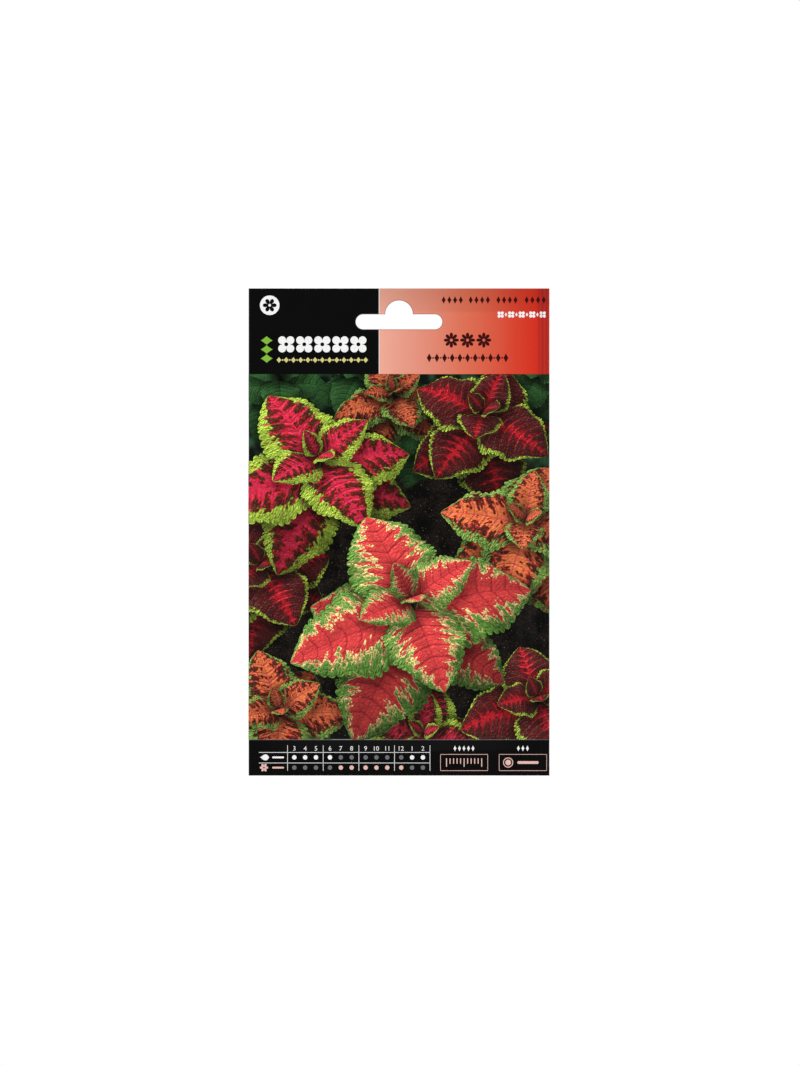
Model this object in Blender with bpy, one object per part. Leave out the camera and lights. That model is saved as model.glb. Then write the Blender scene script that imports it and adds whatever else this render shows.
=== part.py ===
"""A sealed paper seed packet that hangs by a euro slot, with its inner sachet and seeds.

The origin is the top of the slot, where a peg carries the packet. X runs across the
front, Z is up, and the printed front faces -Y. All sizes are in metres.
"""

import math

import bmesh
import bpy
from mathutils import Matrix, Vector

MM = 0.001

# The packet as cut and folded
PACKET_WIDTH = 100 * MM
PACKET_HEIGHT = 162 * MM
PAPER = 0.25 * MM
PLY_GAP = 0.5 * MM  # between the front and the back ply where they are sealed
BULGE = 2.8 * MM  # how far the filled front stands off its sealed edges

# The hang slot: a long slot with round ends and a half-round crown over its middle
TOP_ABOVE_CROWN = 4.0 * MM
SLOT_WIDTH = 28.8 * MM
SLOT_HEIGHT = 5.0 * MM
CROWN_RADIUS = 4.6 * MM

# The sealed margins round the pocket that holds the sachet
HEADER_SEAL = 28.5 * MM
SIDE_SEAL = 3.8 * MM
BOTTOM_SEAL = 8.0 * MM
POCKET_CORNER = 4.0 * MM
GLUE = 0.3 * MM
GLUE_INSET = 0.6 * MM  # keeps the glue clear of the cut edges and of the fold

# The inner sachet
SACHET_WIDTH = 60 * MM
SACHET_HEIGHT = 80 * MM
SACHET_ABOVE_SEAL = 4.5 * MM
SACHET_SEAL = 4.0 * MM
FOIL = 0.15 * MM
FOIL_GAP = 0.3 * MM
SACHET_BULGE = 1.7 * MM
CLEARANCE = 0.3 * MM

# The seeds, in a heap settled low in the sachet
SEED_RADIUS = 0.5 * MM
SEED_PITCH = 0.8 * MM  # under the width of a seed, so that neighbours are joined
HEAP_WIDTH = 12 * MM
HEAP_HEIGHT = 4.4 * MM
HEAP_ABOVE_SACHET_SEAL = 8.6 * MM
SEED_TILT = math.radians(23)  # turns the facets off the rows, so that they meet cleanly
SEED_TILT_AXIS = (0.36, 0.48, 0.80)

# Fineness of the curved sheets
BULGE_COLUMNS = 22
BULGE_ROWS = 24
FOLD_STEPS = 6
ARC_STEPS = 16

# Heights and depths that several pieces share
TOP = TOP_ABOVE_CROWN
BOTTOM = TOP - PACKET_HEIGHT
POCKET_TOP = TOP - HEADER_SEAL
POCKET_BOTTOM = BOTTOM + BOTTOM_SEAL
LEFT = -PACKET_WIDTH / 2
RIGHT = PACKET_WIDTH / 2
POCKET_RIGHT = RIGHT - SIDE_SEAL
FOLD_RADIUS = (PLY_GAP + PAPER) / 2  # at the middle of the paper
FOLD_X = LEFT + PAPER / 2 + FOLD_RADIUS
SACHET_X = (FOLD_X + POCKET_RIGHT) / 2
SACHET_BOTTOM = POCKET_BOTTOM + SACHET_ABOVE_SEAL
SACHET_BACK_Y = PLY_GAP / 2 - CLEARANCE - FOIL / 2
SACHET_FRONT_Y = SACHET_BACK_Y - FOIL - FOIL_GAP


def clear_scene():
    for old in list(bpy.data.objects):
        bpy.data.objects.remove(old, do_unlink=True)


def material(name, colour, roughness, metallic=0.0):
    """A plain Principled material for one piece."""
    made = bpy.data.materials.new(name)
    made.use_nodes = True
    shader = made.node_tree.nodes["Principled BSDF"]
    shader.inputs["Base Color"].default_value = (*colour, 1.0)
    shader.inputs["Roughness"].default_value = roughness
    shader.inputs["Metallic"].default_value = metallic
    return made


def link_mesh(name, bm, finish=None):
    """Turns a bmesh into an object in the scene and returns the object."""
    mesh = bpy.data.meshes.new(name)
    bm.to_mesh(mesh)
    bm.free()
    if finish:
        mesh.materials.append(finish)
    piece = bpy.data.objects.new(name, mesh)
    bpy.context.scene.collection.objects.link(piece)
    return piece


def helper(piece):
    """Marks a cutter, which shapes other pieces and isn't one itself."""
    piece.hide_render = True
    piece.display_type = "WIRE"
    return piece


def cut(piece, cutter):
    modifier = piece.modifiers.new("cut by " + cutter.name, "BOOLEAN")
    modifier.operation = "DIFFERENCE"
    modifier.object = cutter
    modifier.solver = "EXACT"


def apply_modifiers(piece):
    """Replaces a piece's mesh by the one that its modifiers give."""
    graph = bpy.context.evaluated_depsgraph_get()
    finished = bpy.data.meshes.new_from_object(piece.evaluated_get(graph))
    piece.modifiers.clear()
    piece.data = finished


def spaced(start, end, steps):
    """Values from start to end, both included, in equal steps."""
    return [start + (end - start) * i / steps for i in range(steps + 1)]


def pillow(across, along):
    """Share of the full bulge at a place in a filled bag, 0 at its edges and 1 inside.

    across runs from -1 to 1 between the sides and along from 0 at the top to 1 at the
    bottom; the power of along draws the fullest place down to where the filling lies.
    """
    if abs(across) >= 1 or not 0 < along < 1:
        return 0.0
    settled = 2 * along**1.45 - 1
    return (1 - across**4) * (1 - settled**4)


def front_depth(x, z):
    """Y of the middle of the front ply."""
    middle = (FOLD_X + POCKET_RIGHT) / 2
    half = (POCKET_RIGHT - FOLD_X) / 2
    along = (POCKET_TOP - z) / (POCKET_TOP - POCKET_BOTTOM)
    return -FOLD_RADIUS - BULGE * pillow((x - middle) / half, along)


def envelope_girth():
    """Points round the folded sheet seen from above: front, fold, back.

    Each is (x, None) on the front ply, whose depth depends on the height, or (x, y).
    """
    front = [(RIGHT, None)] + [(x, None) for x in spaced(POCKET_RIGHT, FOLD_X, BULGE_COLUMNS)]
    fold = [
        (FOLD_X - FOLD_RADIUS * math.sin(turn), -FOLD_RADIUS * math.cos(turn))
        for turn in spaced(0, math.pi, FOLD_STEPS)[1:]
    ]
    return front + fold + [(RIGHT, FOLD_RADIUS)]


def envelope_heights():
    pocket = spaced(POCKET_TOP, POCKET_BOTTOM, BULGE_ROWS)
    return [TOP] + pocket + [BOTTOM]


def sheet_mesh(columns, heights, depth):
    """A bmesh sheet with a vertex at each column and height, facing outwards.

    columns are (x, y) pairs, and where y is None, depth(x, z) gives it.
    """
    bm = bmesh.new()
    rows = [
        [bm.verts.new((x, depth(x, z) if y is None else y, z)) for x, y in columns]
        for z in heights
    ]
    for upper, lower in zip(rows, rows[1:]):
        for i in range(len(columns) - 1):
            bm.faces.new((upper[i], upper[i + 1], lower[i + 1], lower[i]))
    return bm


def thicken(piece, thickness):
    """Gives a sheet its wall, half of it on each side."""
    wall = piece.modifiers.new("wall", "SOLIDIFY")
    wall.thickness = thickness
    wall.offset = 0.0
    wall.use_even_offset = True


def slot_outline():
    """The hang slot's outline as (x, z) points, counter-clockwise from its lower right."""
    end_radius = SLOT_HEIGHT / 2
    end_x = SLOT_WIDTH / 2 - end_radius
    crown_z = -CROWN_RADIUS
    middle_z = crown_z - end_radius

    def arc(x, z, radius, start, end):
        return [
            (x + radius * math.cos(turn), z + radius * math.sin(turn))
            for turn in spaced(start, end, ARC_STEPS)
        ]

    right_end = arc(end_x, middle_z, end_radius, -math.pi / 2, math.pi / 2)
    crown = arc(0, crown_z, CROWN_RADIUS, 0, math.pi)
    left_end = arc(-end_x, middle_z, end_radius, math.pi / 2, 3 * math.pi / 2)
    return right_end + crown + left_end


def extruded(name, outline, half_depth):
    """A closed prism over an outline in the XZ plane, from -half_depth to half_depth in Y."""
    bm = bmesh.new()
    face = bm.faces.new([bm.verts.new((x, -half_depth, z)) for x, z in outline])
    pushed = bmesh.ops.extrude_face_region(bm, geom=[face])["geom"]
    moved = [item for item in pushed if isinstance(item, bmesh.types.BMVert)]
    bmesh.ops.translate(bm, verts=moved, vec=(0, 2 * half_depth, 0))
    bmesh.ops.recalc_face_normals(bm, faces=bm.faces)
    return link_mesh(name, bm)


def rounded_rectangle(left, right, low, high, radius):
    """Corner arcs of a rectangle in the XZ plane, counter-clockwise."""
    corners = [(right, low, -90), (right, high, 0), (left, high, 90), (left, low, 180)]
    points = []
    for x, z, start in corners:
        centre_x = x - math.copysign(radius, x)
        centre_z = z + radius if z == low else z - radius
        for turn in spaced(start, start + 90, ARC_STEPS // 2):
            angle = math.radians(turn)
            points.append(
                (centre_x + radius * math.cos(angle), centre_z + radius * math.sin(angle))
            )
    return points


def make_envelope(slot):
    """The printed sheet, folded at the left edge, with its front ply bulged over the sachet."""
    finish = material("coated paper", (0.55, 0.10, 0.06), 0.35)
    bm = sheet_mesh(envelope_girth(), envelope_heights(), front_depth)
    envelope = link_mesh("envelope", bm, finish)
    thicken(envelope, PAPER)
    cut(envelope, slot)
    envelope.data.shade_smooth()


def make_glue(slot):
    """The glue film: the header, the right edge and the bottom, round an open pocket."""
    finish = material("seal glue", (0.80, 0.78, 0.70), 0.5)
    low, high = BOTTOM + GLUE_INSET, TOP - GLUE_INSET
    left, right = LEFT + GLUE_INSET, RIGHT - GLUE_INSET
    outline = [(left, low), (right, low), (right, high), (left, high)]
    glue = extruded("seal_glue", outline, GLUE / 2)
    glue.data.materials.append(finish)
    past_fold = LEFT - 2 * POCKET_CORNER
    pocket = rounded_rectangle(past_fold, POCKET_RIGHT, POCKET_BOTTOM, POCKET_TOP, POCKET_CORNER)
    cut(glue, helper(extruded("pocket_cutter", pocket, PACKET_WIDTH / 4)))
    cut(glue, slot)


def make_sachet():
    """The two foils of the inner sachet: the back one flat, the front one bulged."""
    finish = material("sachet foil", (0.75, 0.76, 0.78), 0.3, 0.9)
    half = SACHET_WIDTH / 2
    filled = half - SACHET_SEAL
    low, high = SACHET_BOTTOM, SACHET_BOTTOM + SACHET_HEIGHT
    inner_low, inner_high = low + SACHET_SEAL, high - SACHET_SEAL

    def foil_depth(x, z):
        along = (inner_high - z) / (inner_high - inner_low)
        return SACHET_FRONT_Y - SACHET_BULGE * pillow((x - SACHET_X) / filled, along)

    inner = spaced(SACHET_X + filled, SACHET_X - filled, BULGE_COLUMNS // 2)
    columns = [(x, None) for x in [SACHET_X + half, *inner, SACHET_X - half]]
    heights = [high, *spaced(inner_high, inner_low, BULGE_ROWS // 2), low]
    front = link_mesh("sachet_front_foil", sheet_mesh(columns, heights, foil_depth), finish)
    thicken(front, FOIL)
    front.data.shade_smooth()

    corners = [(SACHET_X + half, SACHET_BACK_Y), (SACHET_X - half, SACHET_BACK_Y)]
    back = link_mesh("sachet_back_foil", sheet_mesh(corners, [high, low], foil_depth), finish)
    thicken(back, FOIL)


def heap_places():
    """Centres of the seeds: a close-packed layer under a low domed outline."""
    floor = SACHET_BOTTOM + SACHET_SEAL + HEAP_ABOVE_SACHET_SEAL
    row_pitch = SEED_PITCH * math.sqrt(3) / 2
    for row in range(int(HEAP_HEIGHT / row_pitch) + 1):
        z = row * row_pitch
        reach = HEAP_WIDTH / 2 * math.sqrt(1 - z / HEAP_HEIGHT)
        shift = SEED_PITCH / 2 * (row % 2)
        count = int(reach / SEED_PITCH)
        for column in range(-count, count + 1):
            yield SACHET_X + shift + column * SEED_PITCH, floor + z


def grain_mesh(x, y, z, tilt):
    """One seed, a small faceted ball."""
    bm = bmesh.new()
    bmesh.ops.create_uvsphere(bm, u_segments=6, v_segments=4, radius=SEED_RADIUS)
    bmesh.ops.transform(bm, matrix=Matrix.Translation((x, y, z)) @ tilt, verts=bm.verts)
    return bm


def make_seeds():
    """The seeds, joined into one body where they touch."""
    finish = material("seed coat", (0.05, 0.03, 0.02), 0.45)
    depth = SACHET_BACK_Y - FOIL / 2 - CLEARANCE - SEED_RADIUS
    tilt = Matrix.Rotation(SEED_TILT, 4, Vector(SEED_TILT_AXIS))
    grains = bpy.data.collections.new("grains")
    bpy.context.scene.collection.children.link(grains)
    for x, z in heap_places():
        grain = link_mesh("grain", grain_mesh(x, depth, z, tilt))
        bpy.context.scene.collection.objects.unlink(grain)
        grains.objects.link(grain)
    first = grains.objects[0]
    seeds = bpy.data.objects.new("seeds", first.data.copy())
    seeds.data.materials.append(finish)
    bpy.context.scene.collection.objects.link(seeds)
    bpy.data.objects.remove(first)
    joined = seeds.modifiers.new("joined", "BOOLEAN")
    joined.operation = "UNION"
    joined.operand_type = "COLLECTION"
    joined.collection = grains
    joined.solver = "MANIFOLD"
    apply_modifiers(seeds)
    for grain in list(grains.objects):
        bpy.data.objects.remove(grain)
    bpy.data.collections.remove(grains)


def main():
    clear_scene()
    slot = helper(extruded("slot_cutter", slot_outline(), PACKET_WIDTH / 10))
    make_envelope(slot)
    make_glue(slot)
    make_sachet()
    make_seeds()


main()
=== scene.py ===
"""The looks of a sealed seed packet that hangs by a euro slot.

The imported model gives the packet's box and the pieces inside it. Over them this script makes the
folded, printed paper, the leaves and marks printed on it, and a plain stage. X runs across the
printed front, which faces -Y, and Z is up, all in metres. A number times MM is in millimetres,
and so are the places of the printed marks and the lengths in the paints.
"""

import math
from typing import Callable, NamedTuple

import bmesh
import bpy
import numpy as np
from bpy.props import FloatProperty, FloatVectorProperty, IntProperty, PointerProperty
from mathutils import Matrix, Vector


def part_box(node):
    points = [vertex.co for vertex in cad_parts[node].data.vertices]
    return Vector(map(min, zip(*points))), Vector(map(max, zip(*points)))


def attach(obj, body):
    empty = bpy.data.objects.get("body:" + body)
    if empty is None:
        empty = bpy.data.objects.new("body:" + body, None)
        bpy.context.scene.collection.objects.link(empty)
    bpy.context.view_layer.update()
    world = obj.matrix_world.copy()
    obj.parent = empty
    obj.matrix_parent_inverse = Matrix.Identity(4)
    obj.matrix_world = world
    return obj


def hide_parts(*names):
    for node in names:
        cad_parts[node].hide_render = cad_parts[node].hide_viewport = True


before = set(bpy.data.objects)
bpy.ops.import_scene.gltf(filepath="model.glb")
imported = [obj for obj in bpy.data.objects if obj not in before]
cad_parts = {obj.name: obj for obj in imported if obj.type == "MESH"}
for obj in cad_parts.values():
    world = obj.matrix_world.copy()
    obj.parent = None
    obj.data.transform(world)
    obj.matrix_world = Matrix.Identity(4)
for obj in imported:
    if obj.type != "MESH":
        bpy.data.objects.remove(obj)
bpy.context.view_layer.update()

bl_info = {
    "name": "Seed packet",
    "version": (1, 0, 0),
    "blender": (4, 5, 0),
    "location": "3D View > Sidebar > Packet",
    "description": "Builds a printed paper seed packet round its packed model",
    "category": "Object",
}

MM = 0.001

# The packet's outer box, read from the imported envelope
LOW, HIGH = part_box("envelope")
RIGHT, TOP, BOTTOM = HIGH.x, HIGH.z, LOW.z
LEFT = -RIGHT
FACE = HIGH.y  # from the packet's middle to either outer face, where the plies are sealed
BULGE = -LOW.y - FACE

# The sealed margins round the pocket, and the paper
HEADER_SEAL = 28.5 * MM
SIDE_SEAL = 3.8 * MM
BOTTOM_SEAL = 8.0 * MM
PAPER = 0.25 * MM
POCKET_TOP = TOP - HEADER_SEAL
POCKET_BOTTOM = BOTTOM + BOTTOM_SEAL
POCKET_RIGHT = RIGHT - SIDE_SEAL
FOLD_X = LEFT + FACE

# The hang slot: a long slot with round ends, and a half-round crown that ends at the origin
SLOT_WIDTH = 28.8 * MM
SLOT_HEIGHT = 5.0 * MM
CROWN_RADIUS = 4.6 * MM
CUTTER_REACH = 10 * MM  # of the shape that punches it, to either side of the packet

# The printed bands, from the top edge down
PICTURE_TOP = POCKET_TOP
PICTURE_BOTTOM = BOTTOM + 12.0 * MM
BLACK_RIGHT = -6.6 * MM  # where the header's black block meets its red one

# Places in the print, in millimetres as the paints use them
STRIP_DEPTHS = (8.4, 7.2)  # below the top edge, between which the header's duller strip sets in
FAR_DEPTHS = (38.0, 18.0)  # below the picture's top, between which the soil gives way to foliage
RULE_INSET = 1.5  # of the back's red rules from the panel's edges
FRONT_EDGE, BACK_EDGE = 0.04, 0.05  # half the width over which one flat colour becomes another

# The photograph's scale and the packet's middle in it, for the camera
PHOTO_HEIGHT_PX = 1066
PACKET_HEIGHT_PX = 487.1
MIDDLE_OFF_CENTRE_PX = (-1.0, 1.0)  # to the right of the frame's middle, and above it


def ink(code):
    """A colour as screens write it, such as 'ff8800', in the linear values that shaders use."""
    shares = [int(code[i : i + 2], 16) / 255 for i in (0, 2, 4)]
    return tuple(s / 12.92 if s <= 0.04045 else ((s + 0.055) / 1.055) ** 2.4 for s in shares)


def colour_property(name, description, code):
    return FloatVectorProperty(
        name=name, description=description, default=ink(code), subtype="COLOR", min=0, max=1
    )


def length_property(name, description, default):
    return FloatProperty(
        name=name, description=description, default=default, unit="LENGTH", precision=5
    )


class PacketPaper(bpy.types.PropertyGroup):
    """Sizes of the folded paper."""

    rib_pitch: length_property("Rib pitch", "From one pressed rib to the next", 1.33 * MM)
    rib_height: length_property("Rib height", "How far the pressed ribs stand up", 0.10 * MM)
    rib_start: length_property("Rib start", "From the pocket to the first groove", 0.2 * MM)
    pucker: length_property("Pucker", "Depth of the small folds below the header", 0.09 * MM)
    wave: length_property("Wave", "Depth of the paper's slow waves", 0.07 * MM)
    crease_softness: FloatProperty(
        name="Crease softness",
        description="Share of the bulge over which the seal's crease is rounded",
        default=0.045,
        min=0.001,
        max=0.5,
        subtype="FACTOR",
    )


class PrintColours(bpy.types.PropertyGroup):
    """Inks of the header, the bottom band and the back."""

    black: colour_property("Black", "Header's left block and the bottom band", "040404")
    pale: colour_property("Pale", "Red block at its left end", "f0ac98")
    salmon: colour_property("Salmon", "Red block at a sixth of its width", "e89a86")
    orange: colour_property("Orange", "Red block at half its width", "de7358")
    red: colour_property("Red", "Red block at four fifths of its width", "d8422d")
    scarlet: colour_property("Scarlet", "Red block near its right end", "d4301f")
    deep_red: colour_property("Deep red", "Red block over the pressed ribs", "c02c22")
    white: colour_property("White", "White marks", "fafafa")
    cream: colour_property("Cream", "Cream marks", "ddd488")
    maroon: colour_property("Maroon", "Dark marks on the red block", "3c0a0c")
    fresh_green: colour_property("Fresh green", "Stack of lozenges at the left", "86bd3e")
    grey: colour_property("Grey", "Months that aren't in season", "6f7274")
    pink: colour_property("Pink", "Months in flower, and the small boxes", "ecc0b6")
    paper: colour_property("Paper", "Bare paper at the cut edges and inside", "f3f1ea")
    back: colour_property("Back", "Panel on the back", "f4ead9")


class PictureColours(bpy.types.PropertyGroup):
    """Colours of the printed leaves and of the soil under them."""

    coral: colour_property("Coral", "Middle of the coral leaves", "ea4a49")
    coral_vein: colour_property("Coral vein", "Veins of the coral leaves", "b8283c")
    cream: colour_property("Cream", "Jagged edge of the coral", "ffe79a")
    green: colour_property("Green", "Margin of the coral leaves", "6ea244")
    dark_green: colour_property("Dark green", "Shaded green", "2c602a")
    lime: colour_property("Lime", "Margin of the lime leaves", "b4d44a")
    leaf: colour_property("Leaf", "Margin of the orange leaves", "8cba56")
    maroon: colour_property("Maroon", "Flesh of the lime leaves", "5e211b")
    olive: colour_property("Olive", "Mottling of the dark flesh", "3b3a1c")
    pink: colour_property("Pink", "Middle of the lime leaves", "ea3355")
    orange: colour_property("Orange", "Middle of the orange leaves", "f8824c")
    rose: colour_property("Rose", "Veins of the orange leaves", "d23f58")
    burgundy: colour_property("Burgundy", "Flesh of the burgundy leaves", "601a20")
    scarlet: colour_property("Scarlet", "Middle of the burgundy leaves", "cf2430")
    soil: colour_property("Soil", "Soil and deep shade", "15110e")
    crumb: colour_property("Crumb", "Lit crumbs of soil", "6a5546")
    far_green: colour_property("Far green", "Blurred foliage behind", "50904c")
    seed: IntProperty(name="Seed", description="Seed of the leaves' small differences", default=7)


def paper_sizes():
    return bpy.context.scene.packet_paper


# Shader values and nodes


class Value:
    """A shader socket that takes part in sums: an operation on it adds the Math node for it."""

    def __init__(self, paint, socket):
        self.paint = paint
        self.socket = socket

    def __add__(self, other):
        return self.paint.maths("ADD", self, other)

    def __radd__(self, other):
        return self.paint.maths("ADD", other, self)

    def __sub__(self, other):
        return self.paint.maths("SUBTRACT", self, other)

    def __rsub__(self, other):
        return self.paint.maths("SUBTRACT", other, self)

    def __mul__(self, other):
        return self.paint.maths("MULTIPLY", self, other)

    def __rmul__(self, other):
        return self.paint.maths("MULTIPLY", other, self)

    def __pow__(self, other):
        return self.paint.maths("POWER", self, other)

    def __abs__(self):
        return self.paint.maths("ABSOLUTE", self)


class Paint:
    """One material's node tree. Its methods add nodes and return their outputs as values."""

    def __init__(self, name, roughness=0.4, specular=0.14, metallic=0.0):
        self.material = bpy.data.materials.new(name)
        self.material.use_nodes = True
        self.tree = self.material.node_tree
        self.shader = self.tree.nodes["Principled BSDF"]
        self.shader.inputs["Roughness"].default_value = roughness
        self.shader.inputs["Specular IOR Level"].default_value = specular
        self.shader.inputs["Metallic"].default_value = metallic

    def feed(self, socket, given):
        """Links a value to a socket, or sets the socket to a number, vector or colour."""
        if isinstance(given, Value):
            self.tree.links.new(given.socket, socket)
        elif socket.type == "RGBA":
            socket.default_value = (*given[:3], 1.0)
        else:
            socket.default_value = given

    def node(self, kind, settings=None, inputs=None, output=0):
        """Adds a node, applies its settings and ramp stops, fills its sockets, gives an output."""
        made = self.tree.nodes.new(kind)
        for name, setting in (settings or {}).items():
            if name == "stops":
                elements = made.color_ramp.elements
                for place, _ in setting[2:]:
                    elements.new(place)
                for element, (place, colour) in zip(elements, setting):
                    element.position = place
                    element.color = (*colour[:3], 1.0)
            else:
                setattr(made, name, setting)
        for key, given in (inputs or {}).items():
            self.feed(made.inputs[key], given)
        return Value(self, made.outputs[output])

    def maths(self, operation, *operands):
        return self.node("ShaderNodeMath", {"operation": operation}, dict(enumerate(operands)))

    def scaled(self, vector, factor):
        """A vector or colour times a factor."""
        settings = {"operation": "SCALE"}
        return self.node("ShaderNodeVectorMath", settings, {"Vector": vector, "Scale": factor})

    def split(self, vector):
        """The three parts of a vector."""
        parts = self.node("ShaderNodeSeparateXYZ", inputs={0: vector}).socket.node.outputs
        return [Value(self, part) for part in parts]

    def joined(self, x, y, z):
        return self.node("ShaderNodeCombineXYZ", inputs={0: x, 1: y, 2: z})

    def place_mm(self):
        """The place on the surface in millimetres, as a vector."""
        return self.scaled(self.node("ShaderNodeTexCoord", output="Object"), 1 / MM)

    def attribute(self, name, output):
        return self.node("ShaderNodeAttribute", {"attribute_name": name}, output=output)

    def mix(self, share, first, second, blend="MIX"):
        """A colour that goes from first to second as share goes from 0 to 1."""
        settings = {"data_type": "RGBA", "blend_type": blend}
        return self.node("ShaderNodeMix", settings, {0: share, 6: first, 7: second}, output=2)

    def rise(self, value, start, end):
        """A smooth step from 0 at start to 1 at end, or down from 1 where end is below start."""
        settings = {"interpolation_type": "SMOOTHSTEP"}
        return self.node("ShaderNodeMapRange", settings, {0: value, 1: start, 2: end})

    def noise(self, vector, scale, detail=2.0, roughness=0.5):
        inputs = {"Vector": vector, "Scale": scale, "Detail": detail, "Roughness": roughness}
        return self.node("ShaderNodeTexNoise", inputs=inputs)

    def cells(self, vector, scale):
        """Distance to the nearest border between irregular cells."""
        settings = {"feature": "DISTANCE_TO_EDGE"}
        return self.node("ShaderNodeTexVoronoi", settings, {"Vector": vector, "Scale": scale})

    def bump(self, height, distance, strength=1.0):
        """Feeds a height to the normal; distance is how many metres a height of 1 stands for."""
        inputs = {"Height": height, "Distance": distance, "Strength": strength}
        self.feed(self.shader.inputs["Normal"], self.node("ShaderNodeBump", inputs=inputs))

    def finish(self, colour, roughness=None):
        self.feed(self.shader.inputs["Base Color"], colour)
        if roughness is not None:
            self.feed(self.shader.inputs["Roughness"], roughness)
        return self.material


def coated_surface(paint, place):
    """Roughness and fine relief of printed coated paper, shared by the sheet and its inks."""
    cloud = paint.noise(place, 0.12, 2.0)
    fibre = paint.noise(place, 3.5, 3.0, 0.6)
    paint.bump(fibre * 0.6 + paint.noise(place, 0.5, 2.0) * 2.0, 0.012 * MM, 0.6)
    return 0.27 + 0.10 * cloud + 0.05 * fibre


def pressed(paint, colour):
    """Paints shade into a print in the grooves between the ribs pressed into the right seal."""
    sizes = paper_sizes()
    x = paint.split(paint.place_mm())[0] - (POCKET_RIGHT + sizes.rib_start) / MM
    groove = 0.5 + 0.5 * paint.maths("COSINE", x * (2 * math.pi * MM / sizes.rib_pitch))
    sealed = paint.rise(x, -0.25, 0.05)
    return paint.scaled(colour, 1 - 0.22 * groove * sealed)


# Shapes of the folded paper, as functions of places in metres


def bulge(x, z):
    """How far the filled front stands off its sealed margins.

    The cross section of the bag, 1 less the fourth power of the place across, times the same
    along its height, drawn down to where the filling lies. A share p of the full bulge becomes
    p squared over p plus the softness, scaled so that 1 stays 1, which rounds the crease where
    the seal begins.
    """
    half = (POCKET_RIGHT - FOLD_X) / 2
    across = np.clip((x - FOLD_X) / half - 1, -1, 1)
    along = np.clip((POCKET_TOP - z) / (POCKET_TOP - POCKET_BOTTOM), 0, 1)
    share = (1 - across**4) * (1 - (2 * along**1.45 - 1) ** 4)
    soft = paper_sizes().crease_softness
    return BULGE * (1 + soft) * share**2 / (share + soft)


def ribs(x):
    """Height of the ribs pressed into the right seal: a cosine across, none on the pocket."""
    sizes = paper_sizes()
    past = x - POCKET_RIGHT - sizes.rib_start
    wave = 0.5 - 0.5 * np.cos(2 * np.pi * past / sizes.rib_pitch)
    return sizes.rib_height * np.where(past > 0, wave, 0.0)


def puckers(x, z):
    """Slow waves over the pocket, and small upright folds that fade out below the header.

    The waves are a sine of the height times a sine across. The folds are a sine across, times
    the depth below the header and an exponential that fades it. Both bend with a second sine.
    """
    sizes = paper_sizes()
    depth = np.clip(POCKET_TOP - z, 0, None) / (9 * MM)
    upright = np.sin(x / (1.9 * MM) + 1.3 * np.sin(x / (7 * MM))) * depth * np.exp(1 - 2 * depth)
    slow = np.sin(z / (8.5 * MM) + 1.7 * np.sin(x / (19 * MM))) * np.sin(x / (15 * MM) + 0.6)
    share = bulge(x, z) / BULGE
    return sizes.pucker * upright * np.minimum(4 * share, 1) + sizes.wave * slow * share


def front_face(x, z):
    """Y of the printed front."""
    return -FACE - bulge(x, z) - ribs(x) - puckers(x, z)


def back_face(x, z):
    """Y of the back, flat apart from the ribs, which are pressed through both plies."""
    return FACE - ribs(x) + 0 * z


def stretches(*runs):
    """Places along a line in order: each run is (from, to, steps), and repeated ends go once."""
    places = [np.linspace(start, end, steps + 1)[:-1] for start, end, steps in runs]
    return np.concatenate([*places, [runs[-1][1]]])


CREASE = 3.0 * MM  # how far the fine rows beside a seal's crease reach

# The sheet's fine runs, each from, to and in how many steps, and the face's turns in the fold
RIB_RUN = (RIGHT, POCKET_RIGHT, 30)
RIGHT_CREASE_RUN = (POCKET_RIGHT, POCKET_RIGHT - CREASE, 8)
LEFT_CREASE_RUN = (FOLD_X + CREASE, FOLD_X, 8)
TOP_CREASE_RUN = (POCKET_TOP, POCKET_TOP - CREASE, 8)
BOTTOM_CREASE_RUN = (POCKET_BOTTOM + CREASE, POCKET_BOTTOM, 8)
FOLD_TURNS = np.linspace(0, np.pi, 13)[1:-1]


def paper_sheet():
    """The folded sheet's outer side as a grid, from the front's cut edge to the back's.

    A row at height z follows front_face to the fold, half a circle round it, and back_face.
    """
    front_x = stretches(
        RIB_RUN,
        RIGHT_CREASE_RUN,
        (POCKET_RIGHT - CREASE, FOLD_X + CREASE, 92),
        LEFT_CREASE_RUN,
    )
    back_x = np.concatenate([stretches((FOLD_X, POCKET_RIGHT, 40))[:-1], stretches(RIB_RUN)[::-1]])
    heights = stretches(
        (TOP, POCKET_TOP, 14),
        TOP_CREASE_RUN,
        (POCKET_TOP - CREASE, POCKET_BOTTOM + CREASE, 112),
        BOTTOM_CREASE_RUN,
        (POCKET_BOTTOM, BOTTOM, 5),
    )
    x = np.concatenate([front_x, FOLD_X - FACE * np.sin(FOLD_TURNS), back_x])[None, :]
    z = heights[:, None]
    fold_y = np.broadcast_to(-FACE * np.cos(FOLD_TURNS), (len(heights), len(FOLD_TURNS)))
    y = np.concatenate([front_face(front_x[None, :], z), fold_y, back_face(back_x[None, :], z)], 1)
    return np.stack([x + 0 * z, y, z + 0 * x], axis=-1)


def grid_quads(rows, columns):
    """Quads of a grid stored row by row, as four corner numbers each."""
    first = (np.arange(rows - 1)[:, None] * columns + np.arange(columns - 1)).ravel()
    return np.stack([first, first + 1, first + columns + 1, first + columns], axis=1)


def mesh_from(name, points, faces):
    """A mesh from an array of points and one of each face's corner numbers."""
    mesh = bpy.data.meshes.new(name)
    mesh.from_pydata(points.tolist(), [], faces.tolist())
    return mesh


def rows_from(items, name, width, kind=np.float32):
    """A property of a mesh's items as an array, one row for each item."""
    values = np.zeros(len(items) * width, kind)
    items.foreach_get(name, values)
    return values.reshape(-1, width)


def rows_into(items, name, rows):
    """Sets a property of a mesh's items from an array with one row for each item."""
    items.foreach_set(name, rows.ravel().astype(np.float32))


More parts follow.
